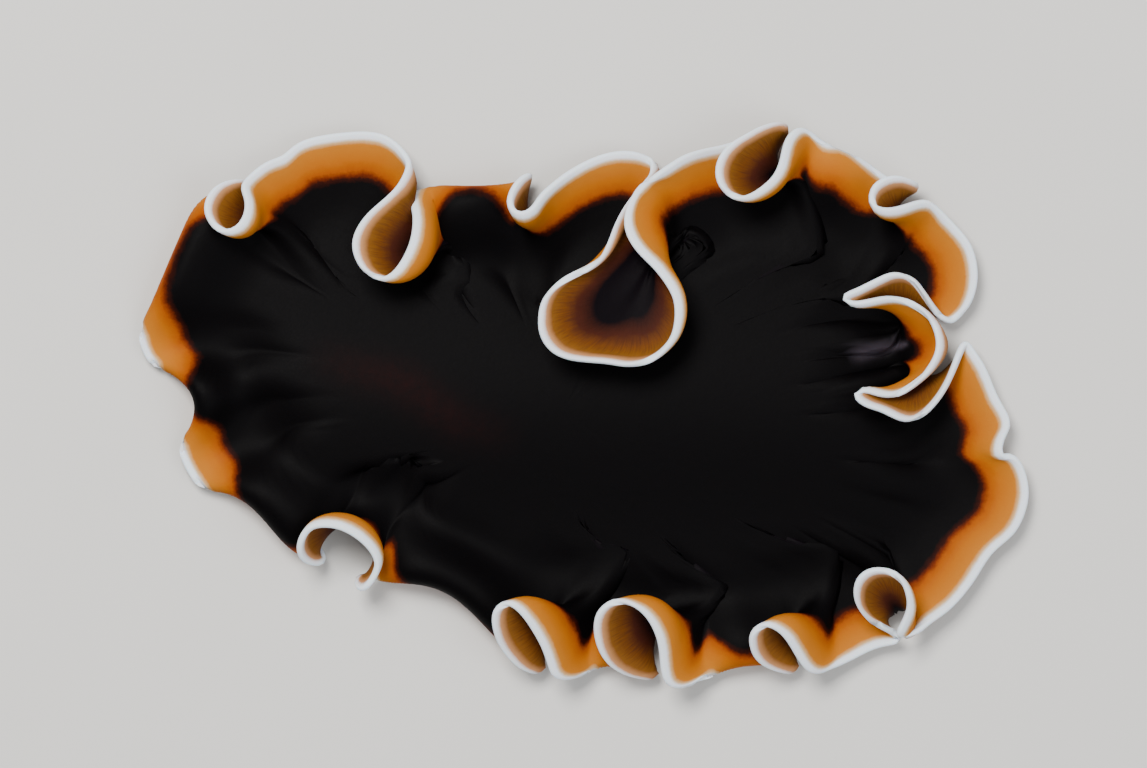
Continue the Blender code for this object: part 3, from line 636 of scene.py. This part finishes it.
def sheet():
    """Rows of the sheet from the rim to the middle of the body, with their normals and thickness.

    Each row stands at a share of the way from the rim to the root. In plan it is the rim smoothed over
    a length that grows with a power of the share, plus the inward direction times the way in, plus the
    lean times a power of the share. Its height is the rim's, let down to the floor as the share grows.
    Where the edge is rolled under, the way in and the height are the roll's instead. The body's rows
    are the root's outline drawn in towards the body's middle.
    """
    rim, length = rim_line()
    step = length / SHEET_COLUMNS
    plan = rim[:, :2]
    lean = smoothed(rim[:, LEAN_X:LEAN_Y + 1], LEAN_SOFTNESS, step)
    under = rim[:, UNDER]
    side_line = smoothed(plan, SIDE_SOFTNESS, step)
    along = np.roll(side_line, -1, axis=0) - np.roll(side_line, 1, axis=0)
    along /= np.linalg.norm(along, axis=1)[:, None]
    inward = np.column_stack((along[:, 1], -along[:, 0]))
    floor = 0.5 * MARGIN_THICKNESS
    roll_length = ROLL_HEM + math.pi * ROLL_RADIUS + SHEET_REACH - ROLL_RADIUS
    rows = []
    shares = np.linspace(0.0, 1.0, SHEET_ROWS)
    ways_in = []
    for share in shares:
        roll_in = rolled_edge(roll_length * share)[0]
        reach_in = SHEET_REACH * share ** (REACH_GROWTH + FOLD_DELAY * rim[:, STEEP])
        ways_in.append((1.0 - under) * reach_in + under * roll_in)
    ways_in = np.array(ways_in) - np.min(ways_in, axis=0)
    for share, moved in zip(shares, ways_in):
        soft = smoothed(plan, ROOT_SOFTNESS * share ** ROOT_GROWTH, step)
        high = smoothed(rim[:, HEIGHT:HEIGHT + 1], HEIGHT_SOFTNESS * share, step)[:, 0]
        let_down = 1.0 - (1.0 - (1.0 - share) ** SINK_START) ** SINK_END
        roll_height, rest = rolled_edge(roll_length * share)[1:]
        ease = 0.5 + 0.5 * math.cos(math.pi * min(rest / (SHEET_REACH - ROLL_RADIUS), 1.0))
        roll_height = floor + (roll_height - floor) * ease
        place = soft + inward * moved[:, None] + lean * (share ** LEAN_GROWTH)
        height = floor + (high - floor) * let_down
        height = (1.0 - under) * height + under * roll_height
        rows.append(np.column_stack((place, height)))
    root = rows[-1][:, :2]
    broad = smoothed(plan, BODY_SOFTNESS, step) + inward * SHEET_REACH
    middle = np.array(BODY_MIDDLE)
    for share in np.linspace(1.0, INNERMOST, BODY_ROWS)[1:]:
        place = middle + (broad + (root - broad) * share ** ROOT_FADING - middle) * share
        rows.append(np.column_stack((place, np.full(len(place), floor))))
    rows = np.array(rows)
    steps = np.linalg.norm(np.diff(rows, axis=0), axis=2)
    run = np.concatenate((np.zeros((1, SHEET_COLUMNS)), np.cumsum(steps, axis=0)))
    thick = thickness(rows[:, :, 0], rows[:, :, 1], run)
    lift = 1.0 - np.clip(rows[:, :, 2] - floor, 0.0, 1.0)
    rows[:, :, 2] += lift * 0.5 * (thick - MARGIN_THICKNESS)
    rows[:, :, 2] = np.maximum(rows[:, :, 2], 0.5 * thick)
    across = np.roll(rows, -1, axis=1) - np.roll(rows, 1, axis=1)
    outward = np.empty_like(rows)
    outward[1:-1] = rows[:-2] - rows[2:]
    outward[0] = rows[0] - rows[1]
    outward[-1] = rows[-2] - rows[-1]
    normal = np.cross(across, outward)
    normal /= np.maximum(np.linalg.norm(normal, axis=2), 1e-12)[:, :, None]
    return {"rows": rows, "normal": normal, "thick": thick, "run": run}


def skin_columns(data):
    """Columns spaced evenly along whichever of the sheet's rows is longest there."""
    steps = np.linalg.norm(np.roll(data["rows"], -1, axis=1) - data["rows"], axis=2)
    longest = smoothed(steps.max(axis=0)[:, None], COLUMN_SOFTNESS, COLUMN_STEP)[:, 0]
    run = np.concatenate(([0.0], np.cumsum(longest)))
    wanted = np.linspace(0.0, run[-1], SKIN_COLUMNS, endpoint=False)
    return np.interp(wanted, run, np.arange(SHEET_COLUMNS + 1))


def skin_levels(run):
    """Distances from the rim of the skin's rows at one column: close at the rim, wide at the middle."""
    shares = np.linspace(0.0, 1.0, INSIDE_ROWS + 1)[1:]
    inside = BAND_END + (run[-1] - BAND_END) * shares ** INSIDE_SPREAD
    return np.concatenate((RIM_ROWS, BAND_ROWS, inside))


def skin_grid(data):
    """Middle, normal and half thickness of the sheet on the skin's columns and levels."""
    where = skin_columns(data)
    low = np.floor(where).astype(int) % SHEET_COLUMNS
    high = (low + 1) % SHEET_COLUMNS
    part = where - np.floor(where)
    taken = {}
    for key in ("rows", "normal", "thick", "run"):
        values = data[key]
        weight = part[None, :, None] if values.ndim == 3 else part[None, :]
        taken[key] = values[:, low] * (1.0 - weight) + values[:, high] * weight
    found = []
    for column in range(SKIN_COLUMNS):
        known = taken["run"][:, column]
        levels = skin_levels(known)
        channels = np.column_stack(
            (taken["rows"][:, column], taken["normal"][:, column], taken["thick"][:, column])
        )
        placed = [np.interp(levels, known, channel) for channel in channels.T]
        found.append(np.column_stack(placed + [levels]))
    found = np.array(found).transpose(1, 0, 2)
    return found[:, :, :3], found[:, :, 3:6], 0.5 * found[:, :, 6], found[:, :, 7]


def skin_shell(data):
    """One closed surface: the lower face from the middle out, a half-round rim, the upper face back in.

    Each face is the sheet's middle moved along its normal by half the thickness, and flat at the
    floor. The rim is half a circle of that radius round the outermost row.
    """
    middle, normal, half, run = skin_grid(data)
    normal /= np.linalg.norm(normal, axis=2)[:, :, None]
    top = middle + normal * half[:, :, None]
    bottom = middle - normal * half[:, :, None]
    bottom[:, :, 2] = np.maximum(bottom[:, :, 2], 0.0)
    outward = middle[0] - middle[1]
    outward -= normal[0] * (outward * normal[0]).sum(axis=1)[:, None]
    outward /= np.linalg.norm(outward, axis=1)[:, None]
    turns = np.linspace(-0.5 * math.pi, 0.5 * math.pi, RIM_TURNS + 2)[1:-1]
    edge = []
    for turn in turns:
        way = outward * math.cos(turn) + normal[0] * math.sin(turn)
        edge.append(middle[0] + half[0][:, None] * way)
    edge = np.array(edge)
    edge[:, :, 2] = np.maximum(edge[:, :, 2], RIM_LOWEST)
    lines = np.concatenate((bottom[::-1], edge, top))
    distance = np.concatenate((run[::-1], np.zeros(edge.shape[:2]), run))
    side = np.concatenate((np.zeros(run.shape), np.full(edge.shape[:2], 0.5), np.ones(run.shape)))
    along = np.linspace(0.0, 1.0, SKIN_COLUMNS, endpoint=False) * STREAK_RUN
    along = np.broadcast_to(along, run[:1].shape).repeat(len(lines), axis=0)
    return lines, distance, side, along


def mesh_from(name, lines, attributes):
    """Quads between neighbouring rows of a ring-shaped grid, with a fan that closes each pole.

    Point (r, c) of the grid is joined to (r + 1, c), (r + 1, c + 1) and (r, c + 1), and the last
    column to the first. Each pole is the mean of its row.
    """
    rows, columns = lines.shape[:2]
    points = np.vstack((lines.reshape(-1, 3), lines[0].mean(axis=0), lines[-1].mean(axis=0)))
    r, c = np.meshgrid(np.arange(rows - 1), np.arange(columns), indexing="ij")
    d = (c + 1) % columns
    here = r * columns
    beyond = here + columns
    quads = np.stack((here + c, beyond + c, beyond + d, here + d), axis=-1).reshape(-1, 4)
    ring = np.arange(columns)
    turned = (ring + 1) % columns
    last = (rows - 1) * columns
    first_fan = np.column_stack((ring, turned, np.full(columns, rows * columns)))
    last_fan = np.column_stack((last + turned, last + ring, np.full(columns, rows * columns + 1)))
    mesh = bpy.data.meshes.new(name)
    faces = quads.tolist() + first_fan.tolist() + last_fan.tolist()
    mesh.from_pydata((points * MILLIMETRE).tolist(), [], faces)
    for key, values in attributes.items():
        values = np.concatenate((values.reshape(-1), [values[0].mean(), values[-1].mean()]))
        layer = mesh.attributes.new(key, "FLOAT", "POINT")
        layer.data.foreach_set("value", values.astype(np.float32))
    mesh.shade_smooth()
    made = bpy.data.objects.new(name, mesh)
    bpy.context.scene.collection.objects.link(made)
    return made


def bell(values, width):
    """One at zero, falling to both sides as e to the power of minus the square of values / width."""
    return np.exp(-((values / width) ** 2))


def to_line(points, x, y):
    """Shortest way in plan from each point to a line through a few points, and the place along it."""
    best = np.full(len(x), 1e9)
    place = np.zeros(len(x))
    count = len(points) - 1
    for number, (start, end) in enumerate(zip(points, points[1:])):
        start, end = np.array(start), np.array(end)
        way = end - start
        t = np.clip(((x - start[0]) * way[0] + (y - start[1]) * way[1]) / (way @ way), 0.0, 1.0)
        far = np.hypot(x - start[0] - t * way[0], y - start[1] - t * way[1])
        nearer = far < best
        best[nearer] = far[nearer]
        place[nearer] = (number + t[nearer]) / count
    return best, place


# The line and half width of the back's reddish midline and of the pale mark on the head, which tapers.
MEDIAN = ((-19.0, 3.6), (-15.5, 2.4), (-12.2, 1.5), (-8.6, -1.2), (-4.0, -2.6))
MEDIAN_WIDTH = 1.3
MARK = ((18.6, 3.45), (19.6, 3.6), (21.4, 4.0))
MARK_WIDTH = 0.5
MARK_TAPER = 0.32


def paint(lines):
    """How strongly the back's faint midline and the pale mark on the head show at each point."""
    x, y = lines[:, :, 0].reshape(-1), lines[:, :, 1].reshape(-1)
    far, place = to_line(MEDIAN, x, y)
    median = bell(far, MEDIAN_WIDTH) * np.sin(math.pi * place)
    far, place = to_line(MARK, x, y)
    mark = bell(far, MARK_WIDTH - MARK_TAPER * place)
    return median.reshape(lines.shape[:2]), mark.reshape(lines.shape[:2])


class Nodes:
    """A material's nodes, made and joined by short calls."""

    def __init__(self, name):
        """A new material with its main shader."""
        self.material = bpy.data.materials.new(name)
        self.material.use_nodes = True
        self.tree = self.material.node_tree
        self.shader = self.tree.nodes["Principled BSDF"]

    def add(self, kind, **settings):
        """A new node with the given settings."""
        node = self.tree.nodes.new(kind)
        for key, value in settings.items():
            setattr(node, key, value)
        return node

    def join(self, source, target):
        """A link from an output to an input."""
        self.tree.links.new(source, target)

    def attribute(self, name):
        """The value of one of the mesh's attributes."""
        return self.add("ShaderNodeAttribute", attribute_name=name).outputs["Fac"]

    def maths(self, operation, first, second=0.0, clamp=False):
        """One operation on two numbers or outputs, held between 0 and 1 where clamp is set."""
        node = self.add("ShaderNodeMath", operation=operation, use_clamp=clamp)
        for socket, value in zip(node.inputs, (first, second)):
            if isinstance(value, (int, float)):
                socket.default_value = value
            else:
                self.join(value, socket)
        return node.outputs[0]

    def noise(self, scale, detail=3.0, roughness=0.5, vector=None):
        """Soft noise from 0 to 1, over the object's own coordinates unless a vector is given."""
        node = self.add("ShaderNodeTexNoise")
        node.inputs["Scale"].default_value = scale
        node.inputs["Detail"].default_value = detail
        node.inputs["Roughness"].default_value = roughness
        if vector is None:
            vector = self.add("ShaderNodeTexCoord").outputs["Object"]
        self.join(vector, node.inputs["Vector"])
        return node.outputs["Fac"]

    def ramp(self, value, stops):
        """Colours that blend from stop to stop as the value grows."""
        node = self.add("ShaderNodeValToRGB")
        band = node.color_ramp
        while len(band.elements) < len(stops):
            band.elements.new(1.0)
        for element, (at, colour) in zip(band.elements, stops):
            element.position = at
            element.color = (*colour, 1.0)
        self.join(value, node.inputs["Fac"])
        return node.outputs["Color"]

    def mix(self, share, first, second):
        """The first colour turned into the second by the share."""
        node = self.add("ShaderNodeMix", data_type="RGBA")
        for key, value in (("Factor", share), ("A", first), ("B", second)):
            socket = node.inputs[key]
            if isinstance(value, tuple):
                socket.default_value = (*value, 1.0)
            elif isinstance(value, (int, float)):
                socket.default_value = value
            else:
                self.join(value, socket)
        return node.outputs["Result"]


# Colours across the upper and the lower face, at each distance from the rim, up to REACH.
REACH = 6.0
BACK = (
    (0.00, (0.74, 0.82, 0.90)),
    (0.40, (0.70, 0.74, 0.80)),
    (0.60, (0.52, 0.33, 0.16)),
    (0.85, (0.40, 0.135, 0.010)),
    (1.90, (0.36, 0.100, 0.002)),
    (2.60, (0.28, 0.058, 0.001)),
    (2.92, (0.12, 0.016, 0.001)),
    (3.15, (0.022, 0.003, 0.001)),
    (3.50, (0.0010, 0.0007, 0.0010)),
)
BELLY = (
    (0.00, (0.74, 0.82, 0.90)),
    (0.30, (0.66, 0.66, 0.70)),
    (0.52, (0.42, 0.20, 0.09)),
    (1.00, (0.17, 0.065, 0.010)),
    (1.90, (0.12, 0.038, 0.005)),
    (2.90, (0.040, 0.009, 0.004)),
    (4.20, (0.002, 0.0010, 0.002)),
)
STREAK_COLOUR = (0.04, 0.010, 0.006)
MEDIAN_COLOUR = (0.06, 0.006, 0.004)
MARK_COLOUR = (0.16, 0.13, 0.17)

# Noise scales of the band's waver, its fine waver, the midline, the grain and the ripple.
WAVER = 900.0
FINE = 5200.0
CLOUD = 1400.0
GRAIN = 9000.0
RIPPLE = 1500.0

# The streaks of the lower face: how close they stand, how long they are, and where they begin and end.
STREAKS_ALONG = 26.0
STREAKS_INWARDS = 0.55
STREAKS_BEGIN = 0.8
STREAKS_END = 4.2

BUMP_HEIGHT = 0.00006
SOFT_DEPTH = 0.0006


def skin_finish():
    """Velvet black with an orange band and a white rim, whose borders waver, and a streaked belly."""
    made = Nodes("flatworm_skin")
    run = made.attribute("run")
    side = made.attribute("side")
    along = made.attribute("along")
    waver = made.maths("SUBTRACT", made.noise(WAVER, 4.0, 0.6), 0.5)
    fine = made.maths("SUBTRACT", made.noise(FINE, 2.0, 0.5), 0.5)
    shift = made.maths("ADD", made.maths("MULTIPLY", waver, 0.55), made.maths("MULTIPLY", fine, 0.22))
    grown = made.maths("MULTIPLY", shift, made.maths("MULTIPLY", run, 0.4, clamp=True))
    place = made.maths("DIVIDE", made.maths("ADD", run, grown), REACH, clamp=True)
    back = made.ramp(place, [(at / REACH, colour) for at, colour in BACK])
    belly = made.ramp(place, [(at / REACH, colour) for at, colour in BELLY])

    combined = made.add("ShaderNodeCombineXYZ")
    made.join(made.maths("MULTIPLY", along, STREAKS_ALONG), combined.inputs["X"])
    made.join(made.maths("MULTIPLY", run, STREAKS_INWARDS), combined.inputs["Y"])
    streak = made.noise(1.0, 3.0, 0.6, combined.outputs["Vector"])
    streak = made.maths("MULTIPLY", made.maths("SUBTRACT", streak, 0.42), 4.0, clamp=True)
    away = made.maths("MULTIPLY", made.maths("SUBTRACT", run, STREAKS_BEGIN), 1.2, clamp=True)
    near = made.maths("SUBTRACT", STREAKS_END, run, clamp=True)
    away = made.maths("MULTIPLY", away, near)
    streak = made.maths("MULTIPLY", streak, made.maths("MULTIPLY", away, 0.55))
    belly = made.mix(streak, belly, STREAK_COLOUR)

    median = made.maths("MULTIPLY", made.attribute("median"), made.noise(CLOUD, 4.0, 0.7))
    back = made.mix(made.maths("MULTIPLY", median, 0.16), back, MEDIAN_COLOUR)
    mark = made.maths("MULTIPLY", made.attribute("mark"), 0.22)
    back = made.mix(mark, back, MARK_COLOUR)
    whole = made.mix(side, belly, back)
    made.join(whole, made.shader.inputs["Base Color"])

    grain = made.noise(GRAIN, 3.0, 0.6)
    ripple = made.noise(RIPPLE, 2.0, 0.5)
    bump = made.add("ShaderNodeBump")
    bump.inputs["Strength"].default_value = 0.18
    bump.inputs["Distance"].default_value = BUMP_HEIGHT
    made.join(made.maths("ADD", made.maths("MULTIPLY", grain, 0.35), ripple), bump.inputs["Height"])
    made.join(bump.outputs["Normal"], made.shader.inputs["Normal"])
    rough = made.maths("ADD", made.maths("MULTIPLY", grain, 0.18), 0.50)
    made.join(rough, made.shader.inputs["Roughness"])
    made.shader.inputs["Specular IOR Level"].default_value = 0.045
    made.shader.inputs["Subsurface Weight"].default_value = 0.12
    made.shader.inputs["Subsurface Radius"].default_value = (1.0, 0.35, 0.15)
    made.shader.inputs["Subsurface Scale"].default_value = SOFT_DEPTH
    return made.material


def floor_finish():
    """Pale warm grey, almost even and matt."""
    made = Nodes("pale_floor")
    tone = made.ramp(made.noise(60.0, 3.0, 0.5), [(0.0, (0.60, 0.59, 0.57)), (1.0, (0.64, 0.63, 0.61))])
    made.join(tone, made.shader.inputs["Base Color"])
    made.shader.inputs["Roughness"].default_value = 0.9
    made.shader.inputs["Specular IOR Level"].default_value = 0.1
    return made.material


def flatworm():
    """The whole skin, its middle over the frame's middle, and the shift that put it there."""
    data = sheet()
    lines, distance, side, along = skin_shell(data)
    median, mark = paint(lines)
    low = lines.reshape(-1, 3).min(axis=0)
    high = lines.reshape(-1, 3).max(axis=0)
    lines = lines - np.array((0.5 * (low[0] + high[0]), 0.5 * (low[1] + high[1]), low[2]))
    attributes = {"run": distance, "side": side, "along": along, "median": median, "mark": mark}
    skin = mesh_from("flatworm", lines, attributes)
    skin.data.materials.append(skin_finish())
    shift = -0.5 * (low + high)
    return skin, shift


# The floor's half width, in metres.
FLOOR_REACH = 0.6


def lamp(name, place, size, power, colour):
    """A square lamp that faces the middle of the floor."""
    light = bpy.data.lights.new(name, "AREA")
    light.energy = power
    light.size = size
    light.color = colour
    made = bpy.data.objects.new(name, light)
    made.location = place
    made.rotation_euler = (-Vector(place)).to_track_quat("-Z", "Y").to_euler()
    bpy.context.scene.collection.objects.link(made)


def room():
    """A pale floor, a big soft lamp above the animal's left, and a weak even light all round."""
    floor_mesh = bpy.data.meshes.new("floor")
    signs = ((-1, -1), (1, -1), (1, 1), (-1, 1))
    corners = [(x * FLOOR_REACH, y * FLOOR_REACH, 0.0) for x, y in signs]
    floor_mesh.from_pydata(corners, [], [(0, 1, 2, 3)])
    floor_mesh.materials.append(floor_finish())
    floor = bpy.data.objects.new("floor", floor_mesh)
    bpy.context.scene.collection.objects.link(floor)
    lamp("key_lamp", (-0.10, 0.16, 0.34), 0.16, 2.4, (1.0, 0.98, 0.95))
    lamp("fill_lamp", (0.22, -0.12, 0.30), 0.30, 0.9, (0.94, 0.97, 1.0))
    world = bpy.data.worlds.new("soft_light")
    world.use_nodes = True
    background = world.node_tree.nodes["Background"]
    background.inputs["Color"].default_value = (1.0, 1.0, 1.0, 1.0)
    background.inputs["Strength"].default_value = 0.45
    bpy.context.scene.world = world


# The photograph's width and height in pixels, a pixel's size on the animal, the pixel that lies over
# the sheet's own middle, and the camera's lens, sensor and the height that the frame fits.
PHOTO_WIDTH = 1147
PHOTO_HEIGHT = 768
PIXEL = 0.0671
MIDDLE_PIXEL = (586.0, 404.0)
LENS = 200.0
SENSOR_WIDTH = 36.0
FOCUS_HEIGHT = 1.5


def camera(shift):
    """A long lens straight above, its frame as wide as the photograph's at the rim's height."""
    width = PHOTO_WIDTH * PIXEL
    view = bpy.data.cameras.new("camera")
    view.lens = LENS
    view.sensor_width = SENSOR_WIDTH
    view.clip_start = 0.01
    view.clip_end = 10.0
    distance = width * LENS / SENSOR_WIDTH + FOCUS_HEIGHT
    made = bpy.data.objects.new("camera", view)
    x = (0.5 * PHOTO_WIDTH - MIDDLE_PIXEL[0]) * PIXEL + shift[0]
    y = (MIDDLE_PIXEL[1] - 0.5 * PHOTO_HEIGHT) * PIXEL + shift[1]
    made.location = (x * MILLIMETRE, y * MILLIMETRE, distance * MILLIMETRE)
    bpy.context.scene.collection.objects.link(made)
    bpy.context.scene.camera = made


skin, shift = flatworm()
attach(skin, "root")
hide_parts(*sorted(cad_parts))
room()
camera(shift)
